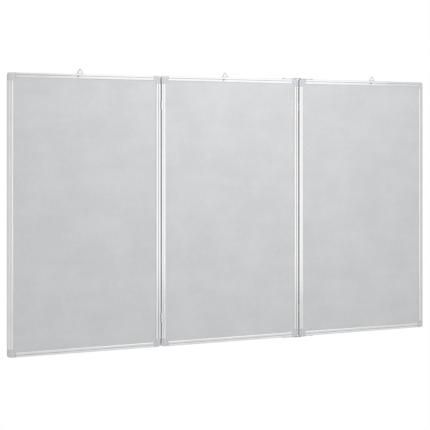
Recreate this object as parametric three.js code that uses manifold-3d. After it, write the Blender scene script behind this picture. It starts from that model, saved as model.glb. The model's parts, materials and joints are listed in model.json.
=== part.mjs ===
// A wall-hung folding whiteboard: three framed writing panels side by side.
// The left panel folds forward on two butt hinges. The right panel folds
// rearward on a two-pivot link hinge at its top and bottom edges. Each panel
// has a swinging hanger plate behind its top rail.
//
// Millimetres. X runs to the right, Y towards the wall and Z up. The origin is
// on the wall side of the middle panel's top rail, halfway along its foot.

import * as THREE from 'three';
import { mergeVertices } from 'three/addons/utils/BufferGeometryUtils.js';
import Module from 'manifold-3d';

const wasm = await Module();
wasm.setup();

// ---- Driving dimensions -------------------------------------------------
const BOARD_WIDTH = 1800;
const BOARD_HEIGHT = 1000;
const THICKNESS = 17;
const PANEL_GAP = 5;
const PANEL_WIDTH = (BOARD_WIDTH - 2 * PANEL_GAP) / 3;
const PITCH = PANEL_WIDTH + PANEL_GAP;
const CLEAR = 0.3; // air left between pieces that touch

// Frame section: u runs inward from the outer edge, v rearward from the front.
const FACE_WIDTH = 18;
const OUTER_WALL = 1.6;
const BEAD_WIDTH = 7.4; // raised bead along the face's outer edge
const RELIEF_END = 8.4; // narrow relief between the bead and the face's inner band
const RELIEF_DEPTH = 1.4;
const BAND_LEVEL = 1; // the inner band lies this far below the bead
const LIP_SLOPE_WIDTH = 2.8; // the lip's inner edge slopes down towards the sheet
const LIP_SLOPE_DEPTH = 0.5;
const WEB_NEAR = 11.2;
const WEB_FAR = 12.6;
const SLOT_FRONT = 1.9;
const SLOT_REAR = 13.4;
const RECESS = 14.6; // depth of the frame's rear skin, which the foot stands behind
const FOOT_WIDTH = 6;
const FRONT_RADIUS = 1;
const REAR_RADIUS = 1.5;
const EDGE_STEPS = 2; // half the facets on each rounded edge of the frame

// Corner caps
const CAP_SIZE = 28;
const CAP_RADIUS = 9;
const CAP_INNER_RADIUS = 4;
const CAP_INSET = 0.4; // the caps lie this far below the frame's bead and sides
const LEG_LENGTH = 25;

// The sandwich in the slot, from front to back
const SHEET_MARGIN = WEB_FAR + CLEAR;
const WRITING_SHEET = 0.4;
const BACK_SHEET = 0.3;

// Hangers
const HANGER_OFFSETS = { left: -32, middle: -35, right: 41 }; // from each panel's middle
const PIVOT_DROP = 9; // pivot below the panel's top edge
const HANGER_FRONT = RECESS + CLEAR;
const HANGER_THICKNESS = 1.2;
const HANGER_OUTLINE = [[0, 0, 6], [27, 4, 4], [13.5, 23.5, 4.5]];
const HANGER_HOLE = [[8.6, 14, 1.5], [20.6, 14, 1.5], [13.6, 20.4, 2.4]];
const HANGER_NOTCH = [-18, 33]; // foot cut away, from the pivot
const SHANK_RADIUS = 2;
const HANGER_HEAD = { radius: 3.2, height: 1.1 };
const HANGER_RIVET = { radius: 3.4, height: 0.5 };

// Fixing screws
const SCREW_RADIUS = 1.5;
const SCREW_LENGTH = 9;
const PAN_HEAD = { radius: 3.4, height: 1.9 };
const LOW_HEAD = { radius: 2.8, height: 0.6 };

// Butt hinges in the left gap
const HINGE_LENGTH = 30;
const HINGE_FROM_EDGE = 108; // hinge middle, from the top and bottom edges
const AXIS_AHEAD = 1.2; // hinge axis in front of the panels' faces
const KNUCKLE_RADIUS = 2.6;
const PIN_RADIUS = 1.2;
const PIN_HEAD = { radius: 2.2, height: 0.8 };
const LEAF_THICKNESS = 1;
const LEAF_START = 2; // depth where the leaf's full plate starts
const LEAF_END = 13;
const LEAF_SCREW_DEPTH = 8;
const LEAF_SCREW_OFFSET = 9;

// Link hinges at the top and bottom of the right gap
const LINK_PIVOT = 9.7; // each pivot, from the middle of the gap
const LINK_RADIUS = 5.5;
const LINK_PLATE = 1.5;
const LINK_SCREWS = [27, 63]; // from the middle of the gap
const LINK_LEAF_END = 66;
const RIVET_HEAD = { radius: 3.6, height: 1.1 };

// Spacer pads in the right gap
const PAD_THICKNESS = 1.2;
const PAD_DEPTHS = [1, 12.5];

const QUARTER = Math.PI / 2;
const ROUND_STEPS = 5; // half the facets on each round stretch of an outline

// ---- Materials ----------------------------------------------------------
const standard = (color, roughness, metalness) =>
  new THREE.MeshStandardMaterial({ color, roughness, metalness });
const FINISH = {
  aluminium: standard(0xe2e4e6, 0.35, 0.9),
  cap: standard(0xc3c4ca, 0.55, 0),
  writing: standard(0xd6d7d9, 0.3, 0.1),
  core: standard(0xb59c78, 0.9, 0),
  back: standard(0xb9bdc0, 0.45, 0.8),
  steel: standard(0xc4c6c8, 0.35, 0.9),
  pad: standard(0xd0d1d3, 0.6, 0),
};

// ---- Small tools --------------------------------------------------------
const depth = (v) => v - THICKNESS; // depth behind the front face as a Y

function solid(geometry) {
  const bare = geometry.clone();
  bare.deleteAttribute('normal');
  bare.deleteAttribute('uv');
  const merged = mergeVertices(bare, 1e-4);
  return new wasm.Manifold(new wasm.Mesh({
    numProp: 3,
    vertProperties: new Float32Array(merged.attributes.position.array),
    triVerts: new Uint32Array(merged.index.array),
  }));
}

function geometryOf(manifold) {
  const mesh = manifold.getMesh();
  const geometry = new THREE.BufferGeometry();
  geometry.setAttribute('position', new THREE.BufferAttribute(mesh.vertProperties, 3));
  geometry.setIndex(new THREE.BufferAttribute(mesh.triVerts, 1));
  geometry.computeVertexNormals();
  return geometry;
}

const join = (pieces) => pieces.map(solid).reduce((all, next) => all.add(next));

const cut = (body, tools) => tools.map(solid).reduce((left, tool) => left.subtract(tool), body);

function box([x0, x1], [y0, y1], [z0, z1]) {
  const geometry = new THREE.BoxGeometry(x1 - x0, y1 - y0, z1 - z0);
  return geometry.translate((x0 + x1) / 2, (y0 + y1) / 2, (z0 + z1) / 2);
}

// A round rod along one axis; at gives its other two coordinates in X, Y, Z order.
function rod(axis, radius, [start, end], at, sides = 12) {
  const geometry = new THREE.CylinderGeometry(radius, radius, end - start, sides);
  const middle = (start + end) / 2;
  if (axis === 'x') return geometry.rotateZ(QUARTER).translate(middle, at[0], at[1]);
  if (axis === 'y') return geometry.translate(at[0], middle, at[1]);
  return geometry.rotateX(QUARTER).translate(at[0], at[1], middle);
}

// A convex outline round a counter-clockwise ring of circles [x, y, radius].
function aroundCircles(circles, path) {
  const count = circles.length;
  const normals = circles.map(([x, y, r], i) => {
    const [nextX, nextY, nextR] = circles[(i + 1) % count];
    const run = Math.hypot(nextX - x, nextY - y);
    return Math.atan2(nextY - y, nextX - x) - Math.acos((r - nextR) / run);
  });
  circles.forEach(([x, y, r], i) => {
    path.absarc(x, y, r, normals[(i + count - 1) % count], normals[i], false);
  });
  return path;
}

const ring = (x, y, radius) => new THREE.Path().absarc(x, y, radius, 0, 2 * Math.PI, false);

const extrude = (shape, length, curveSegments) =>
  new THREE.ExtrudeGeometry(shape, { depth: length, bevelEnabled: false, curveSegments });

// An outline drawn in X and Z, filled between two depths of the panel.
const slab = (shape, [front, rear]) =>
  extrude(shape, rear - front, ROUND_STEPS).rotateX(QUARTER).translate(0, depth(rear), 0);

// An outline drawn in X and Y, filled between two heights.
const plate = (shape, [low, high]) =>
  extrude(shape, high - low, ROUND_STEPS).translate(0, 0, low);

// A turned piece about Z from [radius, z] points that start and end on the axis.
function turned(points, sides = 14) {
  const profile = points.map(([radius, z]) => new THREE.Vector2(radius, z));
  return new THREE.LatheGeometry(profile, sides).rotateX(QUARTER);
}

const named = (name, geometry, material) => {
  const mesh = new THREE.Mesh(geometry, material);
  mesh.name = name;
  return mesh;
};

// ---- Frame members ------------------------------------------------------
function frameSection() {
  const outline = new THREE.Shape();
  const rearCentre = THICKNESS - REAR_RADIUS;
  outline.moveTo(0, rearCentre);
  outline.lineTo(0, FRONT_RADIUS);
  outline.absarc(FRONT_RADIUS, FRONT_RADIUS, FRONT_RADIUS, Math.PI, 1.5 * Math.PI, false);
  const corners = [
    [BEAD_WIDTH, 0], [BEAD_WIDTH, RELIEF_DEPTH], [RELIEF_END, RELIEF_DEPTH],
    [RELIEF_END, BAND_LEVEL], [FACE_WIDTH - LIP_SLOPE_WIDTH, BAND_LEVEL],
    [FACE_WIDTH, BAND_LEVEL + LIP_SLOPE_DEPTH], [FACE_WIDTH, SLOT_FRONT],
    [WEB_FAR, SLOT_FRONT], [WEB_FAR, SLOT_REAR], [FACE_WIDTH, SLOT_REAR],
    [FACE_WIDTH, RECESS], [FOOT_WIDTH, RECESS], [FOOT_WIDTH, THICKNESS],
    [REAR_RADIUS, THICKNESS],
  ];
  corners.forEach(([u, v]) => outline.lineTo(u, v));
  outline.absarc(REAR_RADIUS, rearCentre, REAR_RADIUS, QUARTER, Math.PI, false);
  const chamber = new THREE.Path();
  chamber.moveTo(OUTER_WALL, SLOT_FRONT);
  chamber.lineTo(WEB_NEAR, SLOT_FRONT);
  chamber.lineTo(WEB_NEAR, SLOT_REAR);
  chamber.lineTo(OUTER_WALL, SLOT_REAR);
  chamber.closePath();
  outline.holes.push(chamber);
  return outline;
}

// Every member is drawn as a left stile, then turned about Y to its side.
// reach is from the panel's middle to its outer edge, span is the member's side.
function member(reach, span, tools) {
  const length = span - 2 * (CAP_SIZE + CLEAR);
  const geometry = extrude(frameSection(), length, EDGE_STEPS);
  geometry.translate(-reach, -THICKNESS, -length / 2);
  return geometryOf(cut(solid(geometry), tools));
}

// Holes in a left stile's outer wall for screws at these depths and heights.
const wallHoles = (reach, places) => places.map(([v, along]) =>
  rod('x', SCREW_RADIUS + CLEAR, [-reach - 1, -reach + OUTER_WALL + 1], [depth(v), along]));

// The top rail's hole for the hanger screw and its cut-away foot.
function hangerCuts(reach, offset) {
  const notch = HANGER_NOTCH.map((x) => x + offset);
  return [
    rod('y', SHANK_RADIUS + CLEAR, [depth(-1), depth(THICKNESS)], [-reach + PIVOT_DROP, offset]),
    box([-reach - 1, -reach + FOOT_WIDTH + 1], [depth(RECESS), depth(THICKNESS + 1)], notch),
  ];
}

// ---- Corner caps --------------------------------------------------------
// Drawn at the bottom left corner, with its outer corner point at the origin.
function cap(screwTools) {
  const near = CAP_INSET;
  const inner = FACE_WIDTH - CAP_INSET;
  const shape = new THREE.Shape();
  shape.moveTo(CAP_SIZE, near);
  shape.lineTo(CAP_SIZE, inner);
  const turn = inner + CAP_INNER_RADIUS;
  shape.absarc(turn, turn, CAP_INNER_RADIUS, 1.5 * Math.PI, Math.PI, true);
  shape.lineTo(inner, CAP_SIZE);
  shape.lineTo(near, CAP_SIZE);
  shape.absarc(CAP_RADIUS, CAP_RADIUS, CAP_RADIUS - near, Math.PI, 1.5 * Math.PI, false);
  const across = [OUTER_WALL + CLEAR, WEB_NEAR - CLEAR];
  const along = [CAP_SIZE - 1, CAP_SIZE + LEG_LENGTH];
  const deep = [depth(SLOT_FRONT + CLEAR), depth(SLOT_REAR - CLEAR)];
  const body = join([
    slab(shape, [CAP_INSET, THICKNESS - CAP_INSET]),
    box(across, deep, along),
    box(along, deep, across),
  ]);
  const boardSlot = box([WEB_FAR, 2 * CAP_SIZE], [depth(SLOT_FRONT), depth(SLOT_REAR)],
    [WEB_FAR, 2 * CAP_SIZE]);
  return geometryOf(cut(body, [boardSlot, ...screwTools]));
}

// Screw hole that enters a cap through its bottom or left side.
const capHole = (side) => {
  const at = LINK_SCREWS[0] - PANEL_GAP / 2;
  const span = [-1, SCREW_LENGTH + CLEAR + 1];
  const radius = SCREW_RADIUS + CLEAR;
  const middle = depth(THICKNESS / 2);
  return side === 'bottom' ? rod('z', radius, span, [at, middle]) : rod('x', radius, span, [middle, at]);
};

// ---- One panel ----------------------------------------------------------
const HALF = { width: PANEL_WIDTH / 2, height: BOARD_HEIGHT / 2 };
const HINGE_HEIGHTS = { upper: HALF.height - HINGE_FROM_EDGE, lower: HINGE_FROM_EDGE - HALF.height };
const LEAF_SCREWS = Object.values(HINGE_HEIGHTS).flatMap((height) =>
  [-LEAF_SCREW_OFFSET, LEAF_SCREW_OFFSET].map((z) => [LEAF_SCREW_DEPTH, height + z]));
const MIDDLE_DEPTH = THICKNESS / 2;

// Which screws each side of each panel takes, as depth and place along the
// member drawn as a left stile. The outer link screw sits this far off centre:
const OUTER_LINK_SCREW = HALF.width + PANEL_GAP / 2 - LINK_SCREWS[1];
const flip = (places) => places.map(([v, along]) => [v, -along]);
const SIDE_SCREWS = {
  left: { right: flip(LEAF_SCREWS) },
  middle: {
    left: LEAF_SCREWS,
    top: [[MIDDLE_DEPTH, OUTER_LINK_SCREW]],
    bottom: [[MIDDLE_DEPTH, -OUTER_LINK_SCREW]],
  },
  right: {
    top: [[MIDDLE_DEPTH, -OUTER_LINK_SCREW]],
    bottom: [[MIDDLE_DEPTH, OUTER_LINK_SCREW]],
  },
};
const SIDES = [
  ['left', 'stile', 0, HALF.width, BOARD_HEIGHT],
  ['top', 'rail', QUARTER, HALF.height, PANEL_WIDTH],
  ['right', 'stile', 2 * QUARTER, HALF.width, BOARD_HEIGHT],
  ['bottom', 'rail', -QUARTER, HALF.height, PANEL_WIDTH],
];
// Corner, quarter turns, signs of its X and Z, and the side that faces up or down.
const CORNERS = [
  ['bottom_left', 0, -1, -1, 'bottom'],
  ['top_left', 1, -1, 1, 'left'],
  ['top_right', 2, 1, 1, 'bottom'],
  ['bottom_right', 3, 1, -1, 'left'],
];
const LINKED_SIDE = { left: 0, middle: 1, right: -1 }; // which edge carries link hinges

function frameMembers(panel) {
  return SIDES.map(([side, kind, turn, reach, span]) => {
    const places = SIDE_SCREWS[panel][side] ?? [];
    const tools = wallHoles(reach, places);
    if (side === 'top') tools.push(...hangerCuts(reach, HANGER_OFFSETS[panel]));
    const mesh = named(`${panel}_${side}_${kind}`, member(reach, span, tools), FINISH.aluminium);
    mesh.rotation.y = turn;
    return mesh;
  });
}

function cornerCaps(panel) {
  return CORNERS.map(([corner, quarters, signX, signZ, outward]) => {
    const tools = signX === LINKED_SIDE[panel] ? [capHole(outward)] : [];
    const mesh = named(`${panel}_${corner}_cap`, cap(tools), FINISH.cap);
    mesh.position.set(signX * HALF.width, 0, signZ * HALF.height);
    mesh.rotation.y = quarters * QUARTER;
    return mesh;
  });
}

function sandwich(panel) {
  const wide = [SHEET_MARGIN - HALF.width, HALF.width - SHEET_MARGIN];
  const high = [SHEET_MARGIN - HALF.height, HALF.height - SHEET_MARGIN];
  const writingFront = SLOT_FRONT + CLEAR;
  const backRear = SLOT_REAR - CLEAR;
  const layers = [
    ['writing_sheet', writingFront, writingFront + WRITING_SHEET, FINISH.writing],
    ['core_board', writingFront + WRITING_SHEET + CLEAR, backRear - BACK_SHEET - CLEAR, FINISH.core],
    ['back_sheet', backRear - BACK_SHEET, backRear, FINISH.back],
  ];
  return layers.map(([name, front, rear, finish]) =>
    named(`${panel}_${name}`, box(wide, [depth(front), depth(rear)], high), finish));
}

// ---- Hangers ------------------------------------------------------------
function hangerPlate() {
  const outline = aroundCircles(HANGER_OUTLINE, new THREE.Shape());
  outline.holes.push(aroundCircles(HANGER_HOLE, new THREE.Path()));
  outline.holes.push(ring(0, 0, SHANK_RADIUS + CLEAR));
  return slab(outline, [HANGER_FRONT, HANGER_FRONT + HANGER_THICKNESS]);
}

// The screw runs from its head on the bead through rail and plate.
function hangerScrew() {
  const seat = -CLEAR;
  const headTop = seat - HANGER_HEAD.height;
  const rivet = HANGER_FRONT + HANGER_THICKNESS + CLEAR;
  const rivetEnd = rivet + HANGER_RIVET.height;
  const points = [
    [0, headTop], [HANGER_HEAD.radius * 0.6, headTop],
    [HANGER_HEAD.radius, headTop + HANGER_HEAD.height * 0.5], [HANGER_HEAD.radius, seat],
    [SHANK_RADIUS, seat], [SHANK_RADIUS, rivet], [HANGER_RIVET.radius, rivet],
    [HANGER_RIVET.radius * 0.7, rivetEnd], [0, rivetEnd],
  ];
  const flipped = points.map(([radius, v]) => [radius, -v]).reverse();
  return turned(flipped).rotateX(QUARTER).translate(0, depth(0), 0);
}

function hanger(panel) {
  const group = new THREE.Group();
  group.position.set(HANGER_OFFSETS[panel], 0, HALF.height - PIVOT_DROP);
  group.add(named(`${panel}_hanger_plate`, hangerPlate(), FINISH.steel));
  group.add(named(`${panel}_hanger_screw`, hangerScrew(), FINISH.steel));
  return group;
}

function panelGroup(panel, x) {
  const group = new THREE.Group();
  group.position.x = x;
  group.add(...frameMembers(panel), ...cornerCaps(panel), ...sandwich(panel), hanger(panel));
  return group;
}

// ---- Butt hinges --------------------------------------------------------
// side is -1 for the leaf on the left panel and 1 for the one on the middle
// panel. The left leaf has the two end knuckles, the right leaf the middle one.
function buttLeaf(side) {
  const third = HINGE_LENGTH / 3;
  const end = HINGE_LENGTH / 2;
  const lap = CLEAR / 2;
  const knuckles = side < 0
    ? [[-end, -end + third - lap], [end - third + lap, end]]
    : [[-end + third + lap, end - third - lap]];
  const outer = PANEL_GAP / 2 - CLEAR;
  const across = side < 0 ? [-outer, LEAF_THICKNESS - outer] : [outer - LEAF_THICKNESS, outer];
  const axis = [0, depth(-AXIS_AHEAD)];
  const pieces = [box(across, [depth(LEAF_START), depth(LEAF_END)], [-end, end])];
  for (const span of knuckles) {
    pieces.push(rod('z', KNUCKLE_RADIUS, span, axis, 18));
    pieces.push(box(across, [axis[1], depth(LEAF_START + 1)], span));
  }
  for (const z of [-LEAF_SCREW_OFFSET, LEAF_SCREW_OFFSET]) {
    const face = side * (outer - LEAF_THICKNESS);
    const tip = side * (outer + SCREW_LENGTH);
    const lifted = face - side * LOW_HEAD.height;
    const at = [depth(LEAF_SCREW_DEPTH), z];
    pieces.push(rod('x', SCREW_RADIUS, [face, tip].sort((a, b) => a - b), at, 8));
    pieces.push(rod('x', LOW_HEAD.radius, [lifted, face + side * 0.2].sort((a, b) => a - b), at));
  }
  const bore = rod('z', PIN_RADIUS + CLEAR, [-end - 1, end + 1], axis);
  return geometryOf(cut(join(pieces), [bore]));
}

function buttPin() {
  const seat = HINGE_LENGTH / 2 + CLEAR;
  const top = seat + PIN_HEAD.height;
  const half = [[PIN_RADIUS, seat], [PIN_HEAD.radius, seat], [PIN_HEAD.radius * 0.7, top], [0, top]];
  const points = [...half.map(([radius, z]) => [radius, -z]).reverse(), ...half];
  return turned(points, 12).translate(0, depth(-AXIS_AHEAD), 0);
}

function buttHinge(level) {
  const group = new THREE.Group();
  group.position.set(-PITCH / 2, 0, HINGE_HEIGHTS[level]);
  group.add(named(`${level}_hinge_left_leaf`, buttLeaf(-1), FINISH.steel));
  group.add(named(`${level}_hinge_right_leaf`, buttLeaf(1), FINISH.steel));
  group.add(named(`${level}_hinge_pin`, buttPin(), FINISH.steel));
  return group;
}

// ---- Link hinges --------------------------------------------------------
// Drawn on the top edge with Y from the middle of the thickness and Z from the edge.
const LEAF_LEVEL = [CLEAR, CLEAR + LINK_PLATE];
const LINK_LEVEL = LEAF_LEVEL.map((z) => z + LINK_PLATE + CLEAR);

function linkLeaf() {
  const ends = [[LINK_PIVOT, 0, LINK_RADIUS], [LINK_LEAF_END, 0, LINK_RADIUS]];
  const outline = aroundCircles(ends, new THREE.Shape());
  outline.holes.push(ring(LINK_PIVOT, 0, SHANK_RADIUS + CLEAR));
  const pieces = [plate(outline, LEAF_LEVEL)];
  const top = LEAF_LEVEL[1];
  for (const x of LINK_SCREWS) {
    pieces.push(rod('z', SCREW_RADIUS, [-SCREW_LENGTH, top], [x, 0], 8));
    pieces.push(rod('z', PAN_HEAD.radius, [top - 0.2, top + PAN_HEAD.height], [x, 0]));
  }
  return geometryOf(join(pieces));
}

function link() {
  const ends = [-LINK_PIVOT, LINK_PIVOT].map((x) => [x, 0, LINK_RADIUS]);
  const outline = aroundCircles(ends, new THREE.Shape());
  outline.holes.push(...ends.map(([x, y]) => ring(x, y, SHANK_RADIUS + CLEAR)));
  return plate(outline, LINK_LEVEL);
}

function linkRivet() {
  const seat = LINK_LEVEL[1] + CLEAR;
  const top = seat + RIVET_HEAD.height;
  const points = [
    [0, LEAF_LEVEL[0]], [SHANK_RADIUS, LEAF_LEVEL[0]], [SHANK_RADIUS, seat],
    [RIVET_HEAD.radius, seat], [RIVET_HEAD.radius * 0.7, top], [0, top],
  ];
  return turned(points).translate(LINK_PIVOT, 0, 0);
}

// level is 1 at the top edge and -1 at the bottom edge, where the hinge is
// turned half a turn about X. A half turn about Z gives the middle panel's side.
function linkHinge(name, level) {
  const group = new THREE.Group();
  group.position.set(PITCH / 2, depth(THICKNESS / 2), level * HALF.height);
  if (level < 0) group.rotation.x = Math.PI;
  for (const [panel, turn] of [['middle', Math.PI], ['right', 0]]) {
    const half = new THREE.Group();
    half.rotation.z = turn;
    half.add(named(`${name}_link_leaf_${panel}`, linkLeaf(), FINISH.steel));
    half.add(named(`${name}_link_rivet_${panel}`, linkRivet(), FINISH.steel));
    group.add(half);
  }
  group.add(named(`${name}_link`, link(), FINISH.steel));
  return group;
}

// ---- Spacer pads on the right panel's inner side --------------------------
function gapPad(level) {
  const rear = PANEL_GAP / 2 - CLEAR;
  const across = [rear - PAD_THICKNESS, rear];
  const high = [-HINGE_LENGTH / 2, HINGE_LENGTH / 2];
  const mesh = named(`${level}_gap_pad`, box(across, PAD_DEPTHS.map(depth), high), FINISH.pad);
  mesh.position.set(PITCH / 2, 0, HINGE_HEIGHTS[level]);
  return mesh;
}

// ---- The whole board ----------------------------------------------------
const FOOT_MIDDLE = (REAR_RADIUS + FOOT_WIDTH) / 2;
const board = new THREE.Group();
board.position.z = FOOT_MIDDLE - HALF.height;
['left', 'middle', 'right'].forEach((panel, i) => board.add(panelGroup(panel, (i - 1) * PITCH)));
board.add(...Object.keys(HINGE_HEIGHTS).map(buttHinge));
board.add(linkHinge('top', 1), linkHinge('bottom', -1));
board.add(...Object.keys(HINGE_HEIGHTS).map(gapPad));

const model = new THREE.Group();
model.add(board);

export default model;
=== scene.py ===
import json
import math

import bmesh
import bpy
from mathutils import Matrix, Vector


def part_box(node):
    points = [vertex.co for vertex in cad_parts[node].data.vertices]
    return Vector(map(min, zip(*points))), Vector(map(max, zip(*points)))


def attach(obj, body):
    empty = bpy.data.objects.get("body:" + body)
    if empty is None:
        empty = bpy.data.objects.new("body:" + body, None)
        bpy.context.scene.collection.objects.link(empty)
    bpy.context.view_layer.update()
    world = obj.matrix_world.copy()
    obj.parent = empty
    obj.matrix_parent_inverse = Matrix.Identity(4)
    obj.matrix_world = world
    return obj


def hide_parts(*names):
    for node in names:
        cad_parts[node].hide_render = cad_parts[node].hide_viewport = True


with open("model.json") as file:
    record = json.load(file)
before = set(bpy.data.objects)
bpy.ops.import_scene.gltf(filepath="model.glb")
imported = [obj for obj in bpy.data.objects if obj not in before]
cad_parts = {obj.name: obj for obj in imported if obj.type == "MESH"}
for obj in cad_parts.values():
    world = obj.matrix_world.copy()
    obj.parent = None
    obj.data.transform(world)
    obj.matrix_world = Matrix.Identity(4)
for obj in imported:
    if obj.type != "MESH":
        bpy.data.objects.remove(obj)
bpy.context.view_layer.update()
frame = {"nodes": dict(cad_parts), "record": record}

# ---- Sizes, in millimetres ------------------------------------------------
MM = 0.001
CLEAR = 0.3  # air left between neighbouring pieces
PAST = 1  # how far a cutting tool runs past the wall it cuts
WELD = 2e-3  # vertices nearer than this are merged in a finished piece
FINE_WELD = 1e-4  # the same in a shape under construction
SHARP_ANGLE = math.radians(32)

# Frame section: u runs inward from the outer edge, v rearward from the front.
FACE_WIDTH = 18
OUTER_WALL = 1.6
BEAD_WIDTH = 7.4  # raised bead along the face's outer edge
RELIEF = (BEAD_WIDTH, 8.4)  # narrow relief beside the bead
RELIEF_DEPTH = 1.4
BAND_LEVEL = 1  # the face's inner band lies this far below the bead
WEB = (11.2, 12.6)
SLOT = (1.9, 13.4)
RECESS = 14.6
FOOT_WIDTH = 6
FRONT_RADIUS = 1
REAR_RADIUS = 1.5
LIP_SLOPE = (2.8, 0.5)  # width and fall of the lip's inner edge
LIP_RADIUS = 0.5  # where the inner band turns down into the slope
EDGE_RADIUS = 0.2

# Faces of the section that get painted shade: between two levels near the relief, and past a line just short
# of the lip's end
RELIEF_MARGIN = 0.05
RELIEF_LEVELS = (0.2, 1.8)
LIP_END = FACE_WIDTH - 0.15

# Corner caps
CAP_SIZE = 28
CAP_RADIUS = 9
CAP_INNER_RADIUS = 4
CAP_INSET = 0.4
CAP_EDGE = 1.1
CAP_GROOVE_DEPTH = 0.5
CAP_GROOVE_RADIUS = 1.2
LEG_LENGTH = 25
LEG_EDGE = 0.8

# Hangers
HANGER_LEVELS = (RECESS + CLEAR, RECESS + CLEAR + 1.2)
HANGER_OUTLINE = ((0, 0, 6), (27, 4, 4), (13.5, 23.5, 4.5))
HANGER_HOLE = ((8.6, 14, 1.5), (20.6, 14, 1.5), (13.6, 20.4, 2.4))
HANGER_NOTCH = (-18, 33)
PLATE_EDGE = 0.3  # rounding of every stamped plate's rims
SHANK_RADIUS = 2

# Heads: radius, height, and height of the straight rim
HANGER_HEAD = (3.2, 1.1, 0.4)
HANGER_RIVET = (3.4, 0.5, 0.2)
PAN_HEAD = (3.4, 1.9, 0.57)
LOW_HEAD = (2.8, 0.6, 0.18)
PIN_HEAD = (2.2, 0.8, 0.25)
RIVET_HEAD = (3.6, 1.1, 0.3)

# Cross recesses: depth in each head, and the cross as shares of the head's radius
HANGER_CROSS = 0.8
PAN_CROSS = 1.0
LOW_CROSS = 0.4
CROSS_ARM = 0.55
CROSS_WAIST = 0.13
CROSS_ROUNDING = 0.06
CROSS_TAPER = 0.45

# Fixing screws. THREAD_PLAIN is the length without turns; the crest and next root are shares of the pitch.
SCREW_RADIUS = 1.5
SCREW_LENGTH = 9
SCREW_TIP = 0.3
THREAD_ROOT = 1.2
THREAD_PITCH = 1.0
THREAD_START = 1
THREAD_PLAIN = 1.5
THREAD_CREST = 0.4
THREAD_NEXT_ROOT = 0.8

# Butt hinges
HINGE_LENGTH = 30
KNUCKLE_RADIUS = 2.6
KNUCKLE_RIM = 0.25
PIN_RADIUS = 1.2
LEAF_THICKNESS = 1
LEAF_EDGE = 0.2
LEAF_DEPTHS = (2, 13)
LEAF_SCREW_DEPTH = 8
LEAF_SCREW_OFFSET = 9

# Link hinges
LINK_PIVOT = 9.7
LINK_RADIUS = 5.5
LINK_PLATE = 1.5
LINK_SCREWS = (27, 63)
LINK_LEAF_END = 66
LEAF_LEVELS = (CLEAR, CLEAR + LINK_PLATE)
LINK_LEVELS = (2 * CLEAR + LINK_PLATE, 2 * CLEAR + 2 * LINK_PLATE)

# Spacer pads
PAD_EDGE = 0.25
PAD_RIBS = 5
PAD_RIB = 0.3  # the ribs stand this far out of the pad
RIB_SHARE = 0.3  # half a rib's height, as a share of the pitch
RIB_INSET = 0.6
RIB_BACK = 0.2
RIB_EDGE = 0.2

# ---- Places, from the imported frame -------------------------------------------
PANELS = ("left", "middle", "right")
QUARTER = math.pi / 2


def corners_of(node):
    low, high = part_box(node)
    return low / MM, high / MM


def middle_of(node):
    low, high = corners_of(node)
    return (low + high) / 2


STILE_LOW, STILE_HIGH = corners_of("middle_left_stile")
FRONT = STILE_LOW.y
THICKNESS = STILE_HIGH.y - STILE_LOW.y
PANEL_X = {panel: middle_of(f"{panel}_top_rail").x for panel in PANELS}
PANEL_Z = middle_of("middle_left_stile").z
HALF_WIDTH = PANEL_X["middle"] - STILE_LOW.x
HALF_HEIGHT = PANEL_Z - corners_of("middle_bottom_rail")[0].z
GAP = PANEL_X["middle"] - PANEL_X["left"] - 2 * HALF_WIDTH
BODY_OF = {node: body for body, nodes in frame["record"]["behaviour"]["bodies"].items() for node in nodes}


def depth(v):
    """The Y of a place this far behind the panels' front faces."""
    return FRONT + v


# ---- View ------------------------------------------------------------------
VIEW_DIRECTION = (0.488, 0.873, 0)  # level, from the camera past the board
CAMERA_PLACE = (-2.7906, -4.8782, -0.245)
SENSOR_WIDTH = 36
LENS = 123.8
LENS_SHIFT = -0.167


def make_camera():
    data = bpy.data.cameras.new("view")
    data.sensor_width = SENSOR_WIDTH
    data.lens = LENS
    data.shift_y = LENS_SHIFT
    camera = bpy.data.objects.new("view", data)
    bpy.context.scene.collection.objects.link(camera)
    camera.location = CAMERA_PLACE
    camera.rotation_euler = (QUARTER, 0, -math.atan2(VIEW_DIRECTION[0], VIEW_DIRECTION[1]))
    bpy.context.scene.camera = camera


make_camera()


# ---- Shader building ------------------------------------------------------
class Wire:
    """A value inside a node tree. Arithmetic on it adds the Math nodes that do the same."""

    def __init__(self, paint, socket):
        self.paint = paint
        self.socket = socket

    def _math(self, operation, first, second):
        return self.paint.node("ShaderNodeMath", {"operation": operation}, {0: first, 1: second})

    def __add__(self, other):
        return self._math("ADD", self, other)

    def __radd__(self, other):
        return self._math("ADD", other, self)

    def __sub__(self, other):
        return self._math("SUBTRACT", self, other)

    def __rsub__(self, other):
        return self._math("SUBTRACT", other, self)

    def __mul__(self, other):
        return self._math("MULTIPLY", self, other)

    def __rmul__(self, other):
        return self._math("MULTIPLY", other, self)


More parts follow.
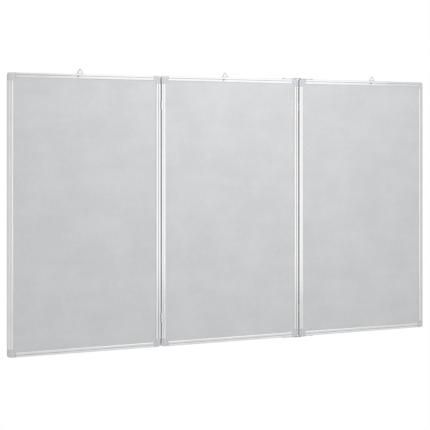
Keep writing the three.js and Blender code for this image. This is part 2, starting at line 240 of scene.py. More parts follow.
class Paint:
    """One node tree under construction."""

    def __init__(self, tree):
        self.tree = tree
        self.tree.nodes.clear()

    def node(self, kind, settings=None, inputs=None, output=0):
        """Adds a node: its settings first, then the values or links of its sockets."""
        made = self.tree.nodes.new(kind)
        for key, value in (settings or {}).items():
            setattr(made, key, value)
        for key, value in (inputs or {}).items():
            if isinstance(value, Wire):
                self.tree.links.new(value.socket, made.inputs[key])
            else:
                made.inputs[key].default_value = value
        return Wire(self, made.outputs[output])

    def end(self, kind, surface):
        """Adds the tree's output node and joins the shader to it."""
        made = self.tree.nodes.new(kind)
        self.tree.links.new(surface.socket, made.inputs["Surface"])

    def place(self, scale=(1, 1, 1)):
        """Object coordinates in metres, stretched by scale."""
        where = self.node("ShaderNodeTexCoord", output="Object")
        return self.node("ShaderNodeMapping", {}, {"Vector": where, "Scale": scale})

    def noise(self, where, scale, detail=3.0, roughness=0.5):
        inputs = {"Vector": where, "Scale": scale, "Detail": detail, "Roughness": roughness}
        return self.node("ShaderNodeTexNoise", {}, inputs)

    def step(self, value, low, high, to_low=0.0, to_high=1.0):
        """value from low to high, smoothly turned into to_low to to_high."""
        inputs = {"Value": value, "From Min": low, "From Max": high, "To Min": to_low, "To Max": to_high}
        return self.node("ShaderNodeMapRange", {"interpolation_type": "SMOOTHSTEP"}, inputs)

    def mix(self, factor, first, second):
        inputs = {0: factor, 6: first, 7: second}
        return self.node("ShaderNodeMix", {"data_type": "RGBA"}, inputs, output=2)

    def bump(self, height, strength, distance, below=None):
        inputs = {"Height": height, "Strength": strength, "Distance": distance}
        if below:
            inputs["Normal"] = below
        return self.node("ShaderNodeBump", {}, inputs)


def rgb(red, green, blue):
    return (red, green, blue, 1.0)


def material(name, recipe):
    """A material whose recipe returns the shader's inputs."""
    made = bpy.data.materials.new(name)
    made.use_nodes = True
    paint = Paint(made.node_tree)
    surface = paint.node("ShaderNodeBsdfPrincipled", {}, recipe(paint))
    paint.end("ShaderNodeOutputMaterial", surface)
    return made


# ---- Finishes -------------------------------------------------------------
def writing_lacquer(paint):
    """Lacquered steel: cloudy where it was wiped, with a faint orange peel."""
    clouds = paint.noise(paint.place(), scale=7.0, detail=5.0, roughness=0.6)
    wiped = paint.noise(paint.place((5, 1, 22)), scale=1.0, detail=6.0, roughness=0.62)
    specks = paint.noise(paint.place(), scale=95.0, detail=3.0, roughness=0.6)
    tone = clouds * 0.45 + wiped * 0.3 + specks * 0.25
    colour = paint.mix(paint.step(tone, 0.38, 0.62), rgb(0.560, 0.568, 0.583), rgb(0.605, 0.613, 0.627))
    peel = paint.noise(paint.place(), scale=420.0, detail=2.0)
    return {
        "Base Color": colour,
        "Roughness": paint.step(wiped, 0.35, 0.65, 0.36, 0.46),
        "Normal": paint.bump(peel, strength=0.08, distance=0.0004),
        "Specular IOR Level": 0.4,
    }


def anodised_aluminium(along):
    """Satin anodised extrusion with fine die lines along its length."""
    stretch = {"x": (4, 900, 900), "z": (900, 900, 4)}[along]

    def recipe(paint):
        lines = paint.noise(paint.place(stretch), scale=1.0, detail=4.0, roughness=0.65)
        clouds = paint.noise(paint.place(), scale=16.0, detail=4.0)
        rubbed = paint.step(paint.noise(paint.place(), scale=130.0, detail=5.0, roughness=0.7), 0.62, 0.78)
        tone = lines * 0.6 + clouds * 0.4
        colour = paint.mix(paint.step(tone, 0.35, 0.65), rgb(0.838, 0.842, 0.850), rgb(0.892, 0.895, 0.900))
        return {
            "Base Color": colour,
            "Metallic": 1.0,
            "Roughness": paint.step(tone, 0.3, 0.7, 0.13, 0.19) + rubbed * 0.06,
            "Normal": paint.bump(lines, strength=0.06, distance=0.0002),
        }

    return recipe


def painted_recess_shade(paint):
    """Unpolished aluminium darkened with mottled painted shade, for the narrow relief and the lip's end."""
    shade_mottle = paint.noise(paint.place((40, 40, 40)), scale=1.0, detail=5.0, roughness=0.65)
    # Dark greys that paint the shade in the relief and on the lip's end
    colour = paint.mix(paint.step(shade_mottle, 0.3, 0.7), rgb(0.22, 0.22, 0.225), rgb(0.31, 0.31, 0.315))
    return {
        "Base Color": colour,
        "Metallic": 0.7,
        "Roughness": paint.step(shade_mottle, 0.3, 0.7, 0.5, 0.65),
        "Normal": paint.bump(shade_mottle, strength=0.1, distance=0.0002),
    }


def cap_plastic(paint):
    """Grey moulded plastic with a spark-eroded grain and rubbed high spots."""
    grain = paint.noise(paint.place(), scale=1700.0, detail=2.0)
    flow = paint.noise(paint.place(), scale=45.0, detail=4.0, roughness=0.6)
    colour = paint.mix(paint.step(flow, 0.3, 0.7), rgb(0.560, 0.565, 0.600), rgb(0.605, 0.610, 0.640))
    return {
        "Base Color": colour,
        "Roughness": paint.step(flow, 0.3, 0.7, 0.38, 0.5),
        "Normal": paint.bump(grain, strength=0.25, distance=0.0002),
    }


def zinc_plate(paint):
    """Zinc plated steel, slightly cloudy, with a trace of blue passivation."""
    clouds = paint.noise(paint.place(), scale=120.0, detail=5.0, roughness=0.6)
    drawn = paint.noise(paint.place((150, 900, 900)), scale=1.0, detail=3.0)
    colour = paint.mix(paint.step(clouds, 0.35, 0.65), rgb(0.62, 0.635, 0.66), rgb(0.72, 0.72, 0.715))
    return {
        "Base Color": colour,
        "Metallic": 1.0,
        "Roughness": paint.step(clouds, 0.3, 0.7, 0.24, 0.38),
        "Normal": paint.bump(drawn, strength=0.1, distance=0.0002),
    }


def dull_zinc(paint):
    """Screw steel with a dull grey zinc coat."""
    clouds = paint.noise(paint.place(), scale=150.0, detail=5.0, roughness=0.65)
    rolled = paint.noise(paint.place((120, 900, 900)), scale=1.0, detail=3.0)
    colour = paint.mix(paint.step(clouds, 0.35, 0.65), rgb(0.40, 0.405, 0.42), rgb(0.50, 0.50, 0.505))
    return {
        "Base Color": colour,
        "Metallic": 0.9,
        "Roughness": paint.step(clouds, 0.3, 0.7, 0.42, 0.56),
        "Normal": paint.bump(rolled, strength=0.1, distance=0.0002),
    }


def bright_nickel(paint):
    """Nickel plated fasteners with fine turning marks."""
    clouds = paint.noise(paint.place(), scale=260.0, detail=4.0)
    marks = paint.noise(paint.place((2600, 2600, 300)), scale=1.0, detail=2.0)
    colour = paint.mix(paint.step(clouds, 0.35, 0.65), rgb(0.70, 0.69, 0.67), rgb(0.79, 0.785, 0.775))
    return {
        "Base Color": colour,
        "Metallic": 1.0,
        "Roughness": paint.step(marks, 0.3, 0.7, 0.17, 0.27),
        "Normal": paint.bump(marks, strength=0.05, distance=0.0002),
    }


def galvanised_back(paint):
    """Hot-dip galvanised sheet: zinc crystals of many greys."""
    where = paint.place()
    warp = paint.noise(where, scale=30.0, detail=3.0)
    shifted = paint.node("ShaderNodeVectorMath", {"operation": "ADD"}, {0: where, 1: warp * 0.012})
    crystals = paint.node("ShaderNodeTexVoronoi", {}, {"Vector": shifted, "Scale": 120.0}, output="Color")
    grey = paint.node("ShaderNodeSeparateColor", {}, {0: crystals})
    clouds = paint.noise(where, scale=5.0, detail=4.0)
    tone = grey * 0.7 + clouds * 0.3
    colour = paint.mix(paint.step(tone, 0.15, 0.85), rgb(0.52, 0.53, 0.54), rgb(0.61, 0.62, 0.63))
    return {
        "Base Color": colour,
        "Metallic": 0.85,
        "Roughness": paint.step(grey, 0.0, 1.0, 0.34, 0.5),
        "Normal": paint.bump(grey, strength=0.05, distance=0.0003),
    }


def core_paperboard(paint):
    """Brown layered paperboard with fibres lying one way."""
    fibres = paint.noise(paint.place((60, 60, 900)), scale=1.0, detail=5.0, roughness=0.7)
    layers = paint.noise(paint.place((3, 1800, 3)), scale=1.0, detail=2.0)
    tone = fibres * 0.6 + layers * 0.4
    colour = paint.mix(paint.step(tone, 0.3, 0.7), rgb(0.34, 0.245, 0.15), rgb(0.48, 0.36, 0.235))
    return {
        "Base Color": colour,
        "Roughness": paint.step(fibres, 0.3, 0.7, 0.82, 0.95),
        "Normal": paint.bump(fibres, strength=0.3, distance=0.0005),
    }


def pad_plastic(paint):
    """Soft grey plastic with a dull skin."""
    skin = paint.noise(paint.place(), scale=900.0, detail=3.0)
    scuffs = paint.noise(paint.place((60, 60, 300)), scale=1.0, detail=4.0)
    colour = paint.mix(paint.step(scuffs, 0.3, 0.7), rgb(0.52, 0.525, 0.53), rgb(0.60, 0.605, 0.61))
    return {
        "Base Color": colour,
        "Roughness": paint.step(scuffs, 0.3, 0.7, 0.5, 0.65),
        "Normal": paint.bump(skin, strength=0.15, distance=0.0002),
    }


def pale_floor(paint):
    """A matt painted floor, very slightly uneven."""
    clouds = paint.noise(paint.place(), scale=0.8, detail=4.0)
    return {
        "Base Color": paint.mix(clouds, rgb(0.86, 0.86, 0.86), rgb(0.88, 0.88, 0.88)),
        "Roughness": 0.8,
    }


FINISHES = {
    "writing": material("writing_lacquer", writing_lacquer),
    "rail": material("anodised_aluminium_level", anodised_aluminium("x")),
    "stile": material("anodised_aluminium_upright", anodised_aluminium("z")),
    # recess: painted shade for the relief and the lip's end
    "recess": material("aluminium_painted_shade", painted_recess_shade),
    "cap": material("grey_cap_plastic", cap_plastic),
    "zinc": material("zinc_plated_steel", zinc_plate),
    "dull": material("dull_zinc", dull_zinc),
    "nickel": material("bright_nickel", bright_nickel),
    "back": material("galvanised_steel", galvanised_back),
    "core": material("brown_paperboard", core_paperboard),
    "pad": material("grey_pad_plastic", pad_plastic),
}


# ---- Light -----------------------------------------------------------------
FRONT_LIGHT = 0.76
REAR_LIGHT = 0.66
LIGHT_BLEND = 0.25  # how far to each side of the board's plane the two lights mix
FLAG_EDGE = (0.80, 0.92)  # where the flag begins and is full, as the cosine to the view direction
FLAG_DARKNESS = 0.93
FLOOR_RADIUS = 2.7
FLOOR_LEVEL = -1.9
FLOOR_SIDES = 96


def make_world():
    """Even studio light: white to look at, softer behind the board, with a dark flag there."""
    world = bpy.data.worlds.new("studio")
    world.use_nodes = True
    paint = Paint(world.node_tree)
    facing = paint.node("ShaderNodeTexCoord", output="Generated")
    rearward = paint.node("ShaderNodeSeparateXYZ", {}, {0: facing}, output="Y")
    towards_flag = {0: facing, 1: VIEW_DIRECTION}
    near_flag = paint.node("ShaderNodeVectorMath", {"operation": "DOT_PRODUCT"}, towards_flag, output="Value")
    flag = paint.step(near_flag, *FLAG_EDGE)
    even = paint.step(rearward, -LIGHT_BLEND, LIGHT_BLEND, FRONT_LIGHT, REAR_LIGHT)
    light = even * (1 - flag * FLAG_DARKNESS)
    seen = paint.node("ShaderNodeLightPath", output="Is Camera Ray")
    strength = light + seen * (1 - light)
    background = paint.node("ShaderNodeBackground", {}, {"Color": rgb(1, 1, 1), "Strength": strength})
    paint.end("ShaderNodeOutputWorld", background)
    bpy.context.scene.world = world


def softbox(name, at, towards, size, power, mirrored=True):
    """A rectangular lamp. Smooth faces show its reflection where it is mirrored."""
    data = bpy.data.lights.new(name, "AREA")
    data.shape = "RECTANGLE"
    data.size, data.size_y = size
    data.energy = power
    lamp = bpy.data.objects.new(name, data)
    bpy.context.scene.collection.objects.link(lamp)
    lamp.location = at
    lamp.rotation_euler = (Vector(towards) - Vector(at)).to_track_quat("-Z", "Y").to_euler()
    lamp.visible_camera = False
    lamp.visible_glossy = mirrored


def make_floor():
    bm = bmesh.new()
    bmesh.ops.create_circle(bm, cap_ends=True, segments=FLOOR_SIDES, radius=FLOOR_RADIUS)
    bmesh.ops.translate(bm, vec=(0, 0, FLOOR_LEVEL), verts=bm.verts)
    mesh = bpy.data.meshes.new("floor")
    bm.to_mesh(mesh)
    bm.free()
    floor = bpy.data.objects.new("floor", mesh)
    bpy.context.scene.collection.objects.link(floor)
    mesh.materials.append(material("pale_floor", pale_floor))


def make_studio():
    bpy.context.scene.view_settings.view_transform = "Standard"
    make_world()
    make_floor()
    centre = (0, 0, PANEL_Z * MM)
    softbox("tall_softbox", at=(1.94, -3.5, 0.1), towards=(0, 0, 0.1), size=(2.0, 2.6), power=6.0)
    near = {"at": (0.05, -1.2, 0.35), "size": (1.2, 0.4), "power": 7.8}
    softbox("near_softbox", towards=centre, mirrored=False, **near)
    over = {"at": (0, 1.5, 3.2), "towards": (0, 2.0, -1.9), "size": (4.0, 4.0), "power": 60.0}
    softbox("overhead_softbox", **over)


make_studio()


# ---- Mesh tools --------------------------------------------------------------
def rounded(corners, steps=4):
    """The points of a closed outline whose corners, each x, y and radius, are rounded."""
    points = []
    for i, (x, y, radius) in enumerate(corners):
        here = Vector((x, y))
        before = (Vector(corners[i - 1][:2]) - here).normalized()
        after = (Vector(corners[(i + 1) % len(corners)][:2]) - here).normalized()
        if not radius:
            points.append(here)
            continue
        half = before.angle(after) / 2
        middle = here + (before + after).normalized() * radius / math.sin(half)
        start, end = (here + side * radius / math.tan(half) - middle for side in (before, after))
        points += arc(middle, radius, math.atan2(start.y, start.x), math.atan2(end.y, end.x), steps)
    return points


def arc(middle, radius, start, end, steps):
    """Points the short way round from one angle to another."""
    sweep = (end - start + math.pi) % (2 * math.pi) - math.pi
    angles = [start + sweep * k / steps for k in range(steps + 1)]
    return [middle + Vector((math.cos(angle), math.sin(angle))) * radius for angle in angles]


def around_circles(circles, steps=8):
    """A convex outline round a counter-clockwise ring of circles, each x, y and radius."""
    count = len(circles)
    leaving = []
    for i, (x, y, radius) in enumerate(circles):
        next_x, next_y, next_radius = circles[(i + 1) % count]
        run = math.hypot(next_x - x, next_y - y)
        leaving.append(math.atan2(next_y - y, next_x - x) - math.acos((radius - next_radius) / run))
    points = []
    for i, (x, y, radius) in enumerate(circles):
        sweep = (leaving[i] - leaving[i - 1]) % (2 * math.pi)
        for k in range(steps + 1):
            angle = leaving[i - 1] + sweep * k / steps
            points.append(Vector((x + radius * math.cos(angle), y + radius * math.sin(angle))))
    return points


def spun(points, steps=32):
    """A turned solid about Z from radius and height pairs that start and end on the axis."""
    bm = bmesh.new()
    verts = [bm.verts.new((radius, 0, z)) for radius, z in points]
    edges = [bm.edges.new(pair) for pair in zip(verts, verts[1:])]
    turn = {"cent": (0, 0, 0), "axis": (0, 0, 1), "angle": 2 * math.pi, "steps": steps}
    bmesh.ops.spin(bm, geom=verts + edges, use_merge=True, use_duplicate=False, **turn)
    return closed(bm)


def closed(bm):
    """The mesh with its doubles merged and its faces pointing outwards."""
    bmesh.ops.remove_doubles(bm, verts=bm.verts, dist=FINE_WELD)
    bmesh.ops.recalc_face_normals(bm, faces=bm.faces)
    return bm


def prism(outline, low, high, edge=0.0, segments=2):
    """An upright solid over an outline drawn in X and Y, with its rims rounded by edge."""
    bm = bmesh.new()
    face = bm.faces.new([bm.verts.new((x, y, low)) for x, y in outline])
    pulled = bmesh.ops.extrude_face_region(bm, geom=[face])["geom"]
    top = [item for item in pulled if isinstance(item, bmesh.types.BMVert)]
    bmesh.ops.translate(bm, vec=(0, 0, high - low), verts=top)
    closed(bm)
    if edge:
        rims = [e for e in bm.edges if abs(e.verts[0].co.z - e.verts[1].co.z) < FINE_WELD]
        round_edges(bm, rims, edge, segments)
    return bm


def round_edges(bm, edges, offset, segments):
    bmesh.ops.bevel(bm, geom=edges, offset=offset, offset_type="OFFSET", segments=segments,
                    profile=0.5, affect="EDGES", material=-1, clamp_overlap=True)


def block(x_span, y_span, z_span, edge=0.0):
    """A box between these limits, with every edge rounded by edge."""
    bm = bmesh.new()
    bmesh.ops.create_cube(bm, size=1)
    spans = (x_span, y_span, z_span)
    bmesh.ops.scale(bm, vec=[high - low for low, high in spans], verts=bm.verts)
    bmesh.ops.translate(bm, vec=[(low + high) / 2 for low, high in spans], verts=bm.verts)
    if edge:
        round_edges(bm, bm.edges[:], edge, segments=2)
    return bm


def rod(radius, low, high, steps=28):
    """A plain upright rod about Z, used as a drill."""
    return spun([(0, low), (radius, low), (radius, high), (0, high)], steps)


def moved(bm, *matrices):
    """The same mesh after each matrix in turn."""
    for matrix in matrices:
        bmesh.ops.transform(bm, matrix=matrix, verts=bm.verts)
    return bm


def shift(x=0, y=0, z=0):
    return Matrix.Translation((x, y, z))


def turn(axis, angle):
    return Matrix.Rotation(angle, 4, axis)


def work_object(bm):
    """A passing object that a Boolean modifier can use."""
    mesh = bpy.data.meshes.new("work")
    bm.to_mesh(mesh)
    bm.free()
    made = bpy.data.objects.new("work", mesh)
    bpy.context.scene.collection.objects.link(made)
    return made


def combined(operation, body, tools):
    """The body with each tool joined on or cut away. All of them are used up."""
    if not tools:
        return body
    base = work_object(body)
    others = [work_object(tool) for tool in tools]
    for other in others:
        change = base.modifiers.new("work", "BOOLEAN")
        change.operation = operation
        change.solver = "EXACT"
        change.object = other
    result = bmesh.new()
    result.from_object(base, bpy.context.evaluated_depsgraph_get())
    for spent in (base, *others):
        bpy.data.meshes.remove(spent.data)
    return result


def join(body, *tools):
    return combined("UNION", body, tools)


def cut(body, *tools):
    return combined("DIFFERENCE", body, tools)


def piece(node, kind, bm, finish, second_finish=None):
    """Finishes a mesh as the piece that stands for a CAD node."""
    bmesh.ops.remove_doubles(bm, verts=bm.verts, dist=WELD)
    bmesh.ops.scale(bm, vec=(MM, MM, MM), verts=bm.verts)
    name = f"{node}_{kind}"
    mesh = bpy.data.meshes.new(name)
    bm.to_mesh(mesh)
    bm.free()
    mesh.shade_smooth()
    mesh.set_sharp_from_angle(angle=SHARP_ANGLE)
    for used in filter(None, (finish, second_finish)):
        mesh.materials.append(FINISHES[used])
    made = bpy.data.objects.new(name, mesh)
    bpy.context.scene.collection.objects.link(made)
    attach(made, BODY_OF[node])
    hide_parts(node)


# ---- Fasteners -----------------------------------------------------------------
def dome(head, base, steps=6):
    """Profile points of a domed head from its rim up to the axis."""
    radius, height, rim = head
    points = [(radius, base), (radius, base + rim)]
    for k in range(1, steps + 1):
        angle = QUARTER * k / steps
        points.append((radius * math.cos(angle), base + rim + (height - rim) * math.sin(angle)))
    points[-1] = (0, base + height)
    return points


def cross_recess(radius, top, depth_down):
    """The tool for a cross recess that narrows towards its bottom."""
    arm = radius * CROSS_ARM
    waist = radius * CROSS_WAIST
    quarter = [(arm, -waist), (arm, waist), (waist, waist)]
    corners = []
    for k in range(4):
        spin = Matrix.Rotation(QUARTER * k, 2)
        corners += [(*(spin @ Vector(point)), CROSS_ROUNDING) for point in quarter]
    tool = prism(rounded(corners, steps=2), top - depth_down, top + PAST)
    low = [v for v in tool.verts if v.co.z < top]
    taper = (CROSS_TAPER, CROSS_TAPER, 1)
    bmesh.ops.scale(tool, vec=taper, space=shift(z=top - depth_down).inverted(), verts=low)
    return tool


def thread(length):
    """Profile points of a screw's thread, from its point up to the head at height 0."""
    points = [(0, -length), (THREAD_ROOT / 2, SCREW_TIP - length)]
    turns = int((length - THREAD_PLAIN) / THREAD_PITCH)
    for k in range(turns):
        root = THREAD_START - length + k * THREAD_PITCH
        crest = root + THREAD_PITCH * THREAD_CREST
        next_root = root + THREAD_PITCH * THREAD_NEXT_ROOT
        points += [(THREAD_ROOT, root), (SCREW_RADIUS, crest), (THREAD_ROOT, next_root)]
    points.append((THREAD_ROOT, -CLEAR))
    return points


def screw(head, length, cross_depth):
    """A cross-recessed screw that points down, with the seat of its head at height 0."""
    radius, height, _ = head
    body = spun(thread(length) + [(SCREW_RADIUS, 0)] + dome(head, 0), steps=28)
    return cut(body, cross_recess(radius, height, cross_depth))


# ---- Frame members ---------------------------------------------------------------
def section():
    """The frame's outline and its chamber's, as u and v."""
    outline = [
        (0, THICKNESS, REAR_RADIUS), (0, 0, FRONT_RADIUS),
        (RELIEF[0], 0, EDGE_RADIUS), (RELIEF[0], RELIEF_DEPTH, EDGE_RADIUS),
        (RELIEF[1], RELIEF_DEPTH, EDGE_RADIUS / 2), (RELIEF[1], BAND_LEVEL, EDGE_RADIUS / 2),
        (FACE_WIDTH - LIP_SLOPE[0], BAND_LEVEL, LIP_RADIUS),
        (FACE_WIDTH, BAND_LEVEL + LIP_SLOPE[1], EDGE_RADIUS / 2),
        (FACE_WIDTH, SLOT[0], EDGE_RADIUS / 2),
        (WEB[1], SLOT[0], 0), (WEB[1], SLOT[1], 0),
        (FACE_WIDTH, SLOT[1], EDGE_RADIUS), (FACE_WIDTH, RECESS, EDGE_RADIUS),
        (FOOT_WIDTH, RECESS, EDGE_RADIUS), (FOOT_WIDTH, THICKNESS, EDGE_RADIUS),
    ]
    chamber = [
        (OUTER_WALL, SLOT[0], 0), (WEB[0], SLOT[0], 0),
        (WEB[0], SLOT[1], 0), (OUTER_WALL, SLOT[1], 0),
    ]
    return rounded(outline, steps=5), rounded(chamber)


def extrusion(length):
    """A left stile of this length, standing about height 0 with its outer edge at X 0."""
    bm = bmesh.new()
    edges = []
    for loop in section():
        verts = [bm.verts.new((u, depth(v), -length / 2)) for u, v in loop]
        edges += [bm.edges.new(pair) for pair in zip(verts, verts[1:] + verts[:1])]
    filled = bmesh.ops.triangle_fill(bm, use_beauty=True, use_dissolve=False, edges=edges)["geom"]
    faces = [item for item in filled if isinstance(item, bmesh.types.BMFace)]
    pulled = bmesh.ops.extrude_face_region(bm, geom=faces)["geom"]
    top = [item for item in pulled if isinstance(item, bmesh.types.BMVert)]
    bmesh.ops.translate(bm, vec=(0, 0, length), verts=top)
    return closed(bm)


LEAF_SCREWS = [
    (LEAF_SCREW_DEPTH, middle_of(f"{level}_hinge_pin").z - PANEL_Z + offset)
    for level in ("upper", "lower") for offset in (-LEAF_SCREW_OFFSET, LEAF_SCREW_OFFSET)
]
OUTER_LINK_SCREW = HALF_WIDTH + GAP / 2 - LINK_SCREWS[1]
# Screw holes in each member's outer wall, as depth and place along it as a left stile.
WALL_SCREWS = {
    ("left", "right"): [(v, -along) for v, along in LEAF_SCREWS],
    ("middle", "left"): LEAF_SCREWS,
    ("middle", "top"): [(THICKNESS / 2, OUTER_LINK_SCREW)],
    ("middle", "bottom"): [(THICKNESS / 2, -OUTER_LINK_SCREW)],
    ("right", "top"): [(THICKNESS / 2, -OUTER_LINK_SCREW)],
    ("right", "bottom"): [(THICKNESS / 2, OUTER_LINK_SCREW)],
}
# Side: kind, quarter turns from a left stile, reach from the panel's middle and length
SIDES = {
    "left": ("stile", 0, HALF_WIDTH, 2 * HALF_HEIGHT),
    "top": ("rail", 1, HALF_HEIGHT, 2 * HALF_WIDTH),
    "right": ("stile", 2, HALF_WIDTH, 2 * HALF_HEIGHT),
    "bottom": ("rail", -1, HALF_HEIGHT, 2 * HALF_WIDTH),
}


def wall_drills(panel, side):
    """The tools for the screw holes in a member's outer wall, as a left stile."""
    radius = SCREW_RADIUS + CLEAR
    places = WALL_SCREWS.get((panel, side), [])
    lying = turn("Y", QUARTER)
    drills = []
    for v, along in places:
        drill = rod(radius, -PAST, OUTER_WALL + PAST)
        drills.append(moved(drill, lying, shift(0, depth(v), along)))
    return drills


def split_beside_holes(bm, places):
    """Divides the walls on both sides of each screw hole, so that each hole has faces of its own."""
    for _, along in places:
        for offset in (-2 * SCREW_RADIUS, 2 * SCREW_RADIUS):
            parts = bm.verts[:] + bm.edges[:] + bm.faces[:]
            bmesh.ops.bisect_plane(bm, geom=parts, plane_co=(0, 0, along + offset), plane_no=(0, 0, 1))


def hanger_tools(panel):
    """The hanger screw's hole and the gap in the foot that the plate turns through."""
    pivot = middle_of(f"{panel}_hanger_screw")
    along = pivot.x - PANEL_X[panel]
    across = PANEL_Z + HALF_HEIGHT - pivot.z
    drill = rod(SHANK_RADIUS + CLEAR, -PAST, THICKNESS + PAST)
    moved(drill, turn("X", -QUARTER), shift(across, FRONT, along))
    notch = [along + limit for limit in HANGER_NOTCH]
    foot = block((-PAST, FOOT_WIDTH + PAST), (depth(RECESS), depth(THICKNESS + PAST)), notch)
    return [drill, foot]


def mark_painted_shade(bm):
    """Gives the relief's and the lip's end faces the second finish, which paints shade on them."""
    for face in bm.faces:
        centre = face.calc_center_median()
        level = centre.y - FRONT
        near_relief = RELIEF[0] - RELIEF_MARGIN < centre.x < RELIEF[1] + RELIEF_MARGIN
        in_relief = near_relief and RELIEF_LEVELS[0] < level < RELIEF_LEVELS[1]
        on_lip_end = centre.x > LIP_END and level < RECESS / 2
        face.material_index = int(in_relief or on_lip_end)


def frame_member(panel, side):
    kind, turns, reach, span = SIDES[side]
    body = extrusion(span - 2 * (CAP_SIZE + CLEAR))
    split_beside_holes(body, WALL_SCREWS.get((panel, side), []))
    tools = wall_drills(panel, side)
    if side == "top":
        tools += hanger_tools(panel)
    body = cut(body, *tools)
    mark_painted_shade(body)
    moved(body, shift(-reach), turn("Y", turns * QUARTER), shift(PANEL_X[panel], 0, PANEL_Z))
    # The second finish paints shade into the relief and onto the lip's end
    piece(f"{panel}_{side}_{kind}", "extrusion", body, kind, "recess")


# ---- Corner caps -----------------------------------------------------------------
def corner_band(near, far, outer_radius, inner_radius, reach):
    """The outline of an L between two distances from the corner's sides."""
    corners = [
        (reach, near, 0), (reach, far, 0), (far, far, inner_radius),
        (far, reach, 0), (near, reach, 0), (near, near, outer_radius),
    ]
    return rounded(corners, steps=10)


def cap_body():
    """A cap at a bottom left corner, its outer corner point at the origin, lying face up."""
    near, far = CAP_INSET, FACE_WIDTH - CAP_INSET
    outline = corner_band(near, far, CAP_RADIUS - near, CAP_INNER_RADIUS, CAP_SIZE)
    top = THICKNESS - CAP_INSET
    body = prism(outline, CAP_INSET, top, CAP_EDGE, segments=4)
    across = (OUTER_WALL + CLEAR, WEB[0] - CLEAR)
    deep = (THICKNESS - SLOT[1] + CLEAR, THICKNESS - SLOT[0] - CLEAR)
    along = (CAP_SIZE - PAST, CAP_SIZE + LEG_LENGTH)
    body = join(body, block(across, along, deep, LEG_EDGE), block(along, across, deep, LEG_EDGE))
    inward = (WEB[1], 2 * CAP_SIZE)
    slot = block(inward, inward, (THICKNESS - SLOT[1], THICKNESS - SLOT[0]))
    near, far = RELIEF
    band = corner_band(near, far, CAP_RADIUS - near, CAP_GROOVE_RADIUS, CAP_SIZE + PAST)
    return cut(body, slot, prism(band, top - CAP_GROOVE_DEPTH, top + PAST))


def cap_drill(side):
    """The inner link screw's hole, through a cap's bottom or left side."""
    at = LINK_SCREWS[0] - GAP / 2
    tool = rod(SCREW_RADIUS + CLEAR, -PAST, SCREW_LENGTH + CLEAR + PAST)
    if side == "bottom":
        return moved(tool, turn("X", -QUARTER), shift(at, 0, THICKNESS / 2))
    return moved(tool, turn("Y", QUARTER), shift(0, at, THICKNESS / 2))


# Corner: quarter turns, signs of its X and Z, and which side faces up or down
CORNERS = {
    "bottom_left": (0, -1, -1, "bottom"),
    "top_left": (1, -1, 1, "left"),
    "top_right": (2, 1, 1, "bottom"),
    "bottom_right": (3, 1, -1, "left"),
}
# The sign of X on the side of each panel whose caps a link hinge is screwed to
LINKED_SIDE = {"left": 0, "middle": 1, "right": -1}


def corner_cap(panel, corner, plain):
    turns, sign_x, sign_z, outward = CORNERS[corner]
    body = plain.copy()
    if sign_x == LINKED_SIDE[panel]:
        body = cut(body, cap_drill(outward))
    place = shift(PANEL_X[panel] + sign_x * HALF_WIDTH, 0, PANEL_Z + sign_z * HALF_HEIGHT)
    moved(body, turn("X", QUARTER), turn("Y", turns * QUARTER), place)
    piece(f"{panel}_{corner}_cap", "moulding", body, "cap")


# ---- Hangers -----------------------------------------------------------------------
def hanger_plate(panel):
    pivot = middle_of(f"{panel}_hanger_screw")
    front, rear = HANGER_LEVELS
    thick = rear - front
    body = prism(around_circles(HANGER_OUTLINE, steps=12), 0, thick, PLATE_EDGE)
    window = prism(around_circles(HANGER_HOLE, steps=8), -PAST, thick + PAST)
    body = cut(body, window, rod(SHANK_RADIUS + CLEAR, -PAST, thick + PAST))
    moved(body, turn("X", QUARTER), shift(pivot.x, depth(rear), pivot.z))
    piece(f"{panel}_hanger_plate", "stamping", body, "zinc")


def hanger_screw(panel):
    """A cross-recessed screw that bears on the bead, its end riveted over behind the plate."""
    pivot = middle_of(f"{panel}_hanger_screw")
    radius, height, _ = HANGER_HEAD
    end = HANGER_LEVELS[1] + CLEAR
    rivet = [(r, -z) for r, z in reversed(dome(HANGER_RIVET, end))]
    profile = rivet + [(SHANK_RADIUS, -end), (SHANK_RADIUS, CLEAR)] + dome(HANGER_HEAD, CLEAR)
    body = cut(spun(profile), cross_recess(radius, CLEAR + height, HANGER_CROSS))
    moved(body, turn("X", QUARTER), shift(pivot.x, FRONT, pivot.z))
    piece(f"{panel}_hanger_screw", "turning", body, "dull")


# ---- Butt hinges -------------------------------------------------------------------
def barrel(low, high):
    """A solid hinge knuckle with softened rims, before its bore is cut."""
    inner = KNUCKLE_RADIUS - KNUCKLE_RIM
    return spun([
        (0, low), (inner, low), (KNUCKLE_RADIUS, low + KNUCKLE_RIM),
        (KNUCKLE_RADIUS, high - KNUCKLE_RIM), (inner, high), (0, high),
    ])


def butt_leaf(level, name, side):
    """side is -1 on the left panel, with the two end knuckles, and 1 on the middle one."""
    pin = middle_of(f"{level}_hinge_pin")
    ahead = FRONT - pin.y
    end = HINGE_LENGTH / 2
    inner = HINGE_LENGTH / 6
    lap = CLEAR / 2
    knuckles = [(-end, -inner - lap), (inner + lap, end)] if side < 0 else [(-inner + lap, inner - lap)]
    outer = GAP / 2 - CLEAR
    across = sorted((side * (outer - LEAF_THICKNESS), side * outer))
    deep = [ahead + v for v in LEAF_DEPTHS]
    body = block(across, deep, (-end, end), LEAF_EDGE)
    for low, high in knuckles:
        body = join(body, barrel(low, high), block(across, (0, deep[0] + PAST), (low, high)))
    outward = turn("Y", -side * QUARTER)
    face = side * (outer - LEAF_THICKNESS)
    for offset in (-LEAF_SCREW_OFFSET, LEAF_SCREW_OFFSET):
        seat = shift(face, ahead + LEAF_SCREW_DEPTH, offset)
        fixing = screw(LOW_HEAD, SCREW_LENGTH + LEAF_THICKNESS, LOW_CROSS)
        body = join(body, moved(fixing, outward, seat))
    body = cut(body, rod(PIN_RADIUS + CLEAR, -end - PAST, end + PAST))
    moved(body, shift(pin.x, pin.y, pin.z))
    piece(f"{level}_hinge_{name}_leaf", "pressing", body, "zinc")


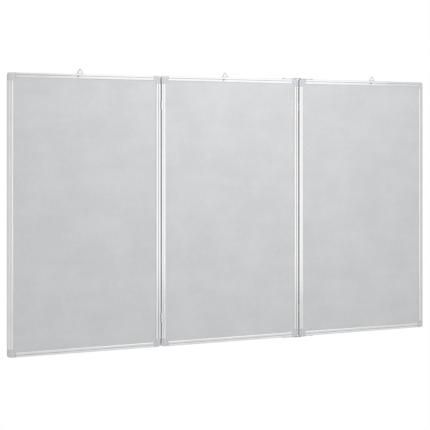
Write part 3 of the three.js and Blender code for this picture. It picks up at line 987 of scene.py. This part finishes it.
def butt_pin(level):
    pin = middle_of(f"{level}_hinge_pin")
    seat = HINGE_LENGTH / 2 + CLEAR
    half = [(PIN_RADIUS, seat)] + dome(PIN_HEAD, seat)
    body = spun([(radius, -z) for radius, z in reversed(half)] + half, steps=28)
    moved(body, shift(pin.x, pin.y, pin.z))
    piece(f"{level}_hinge_pin", "turning", body, "nickel")


# ---- Link hinges -------------------------------------------------------------------
def link_place(name):
    """Where a link hinge drawn on the top edge goes."""
    middle = middle_of(f"{name}_link")
    if name == "top":
        return [shift(middle.x, middle.y, PANEL_Z + HALF_HEIGHT)]
    return [turn("X", math.pi), shift(middle.x, middle.y, PANEL_Z - HALF_HEIGHT)]


def link_leaf(name, panel, facing):
    """A leaf with its two screws, from the pivot outwards. facing turns it to its panel's side."""
    ends = [(x, 0, LINK_RADIUS) for x in (LINK_PIVOT, LINK_LEAF_END)]
    body = prism(around_circles(ends, steps=14), *LEAF_LEVELS, PLATE_EDGE)
    top = LEAF_LEVELS[1]
    for x in LINK_SCREWS:
        fixing = screw(PAN_HEAD, SCREW_LENGTH + top, PAN_CROSS)
        body = join(body, moved(fixing, shift(x, 0, top)))
    body = cut(body, moved(rod(SHANK_RADIUS + CLEAR, -PAST, top + PAST), shift(LINK_PIVOT)))
    moved(body, facing, *link_place(name))
    piece(f"{name}_link_leaf_{panel}", "stamping", body, "zinc")


def link_bar(name):
    pivots = (-LINK_PIVOT, LINK_PIVOT)
    ends = [(x, 0, LINK_RADIUS) for x in pivots]
    low, high = LINK_LEVELS
    body = prism(around_circles(ends, steps=14), low, high, PLATE_EDGE)
    drills = [moved(rod(SHANK_RADIUS + CLEAR, low - PAST, high + PAST), shift(x)) for x in pivots]
    body = moved(cut(body, *drills), *link_place(name))
    piece(f"{name}_link", "stamping", body, "zinc")


def link_rivet(name, panel, facing):
    seat = LINK_LEVELS[1] + CLEAR
    low = LEAF_LEVELS[0]
    body = spun([(0, low), (SHANK_RADIUS, low), (SHANK_RADIUS, seat)] + dome(RIVET_HEAD, seat))
    moved(body, shift(LINK_PIVOT), facing, *link_place(name))
    piece(f"{name}_link_rivet_{panel}", "turning", body, "nickel")


# ---- Spacer pads -------------------------------------------------------------------
def gap_pad(level):
    """A small ribbed pad stuck to the right panel's inner side."""
    low, high = corners_of(f"{level}_gap_pad")
    body = block((low.x + PAD_RIB, high.x), (low.y, high.y), (low.z, high.z), PAD_EDGE)
    pitch = (high.z - low.z) / PAD_RIBS
    across = (low.x, high.x - RIB_BACK)
    deep = (low.y + RIB_INSET, high.y - RIB_INSET)
    for k in range(PAD_RIBS):
        z = low.z + pitch * (k + 0.5)
        body = join(body, block(across, deep, (z - pitch * RIB_SHARE, z + pitch * RIB_SHARE), RIB_EDGE))
    piece(f"{level}_gap_pad", "moulding", body, "pad")


# ---- The board -----------------------------------------------------------------------
def dress(node, finish):
    """Gives a CAD node that already has its right shape its finish."""
    mesh = frame["nodes"][node].data
    mesh.materials.clear()
    mesh.materials.append(FINISHES[finish])


def make_panel(panel, plain_cap):
    for side in SIDES:
        frame_member(panel, side)
    for corner in CORNERS:
        corner_cap(panel, corner, plain_cap)
    hanger_plate(panel)
    hanger_screw(panel)
    for layer, finish in (("writing_sheet", "writing"), ("core_board", "core"), ("back_sheet", "back")):
        dress(f"{panel}_{layer}", finish)


def make_board():
    plain_cap = cap_body()
    for panel in PANELS:
        make_panel(panel, plain_cap)
    for level in ("upper", "lower"):
        butt_leaf(level, "left", -1)
        butt_leaf(level, "right", 1)
        butt_pin(level)
        gap_pad(level)
    for name in ("top", "bottom"):
        link_bar(name)
        for panel, facing in (("middle", turn("Z", math.pi)), ("right", Matrix())):
            link_leaf(name, panel, facing)
            link_rivet(name, panel, facing)


make_board()
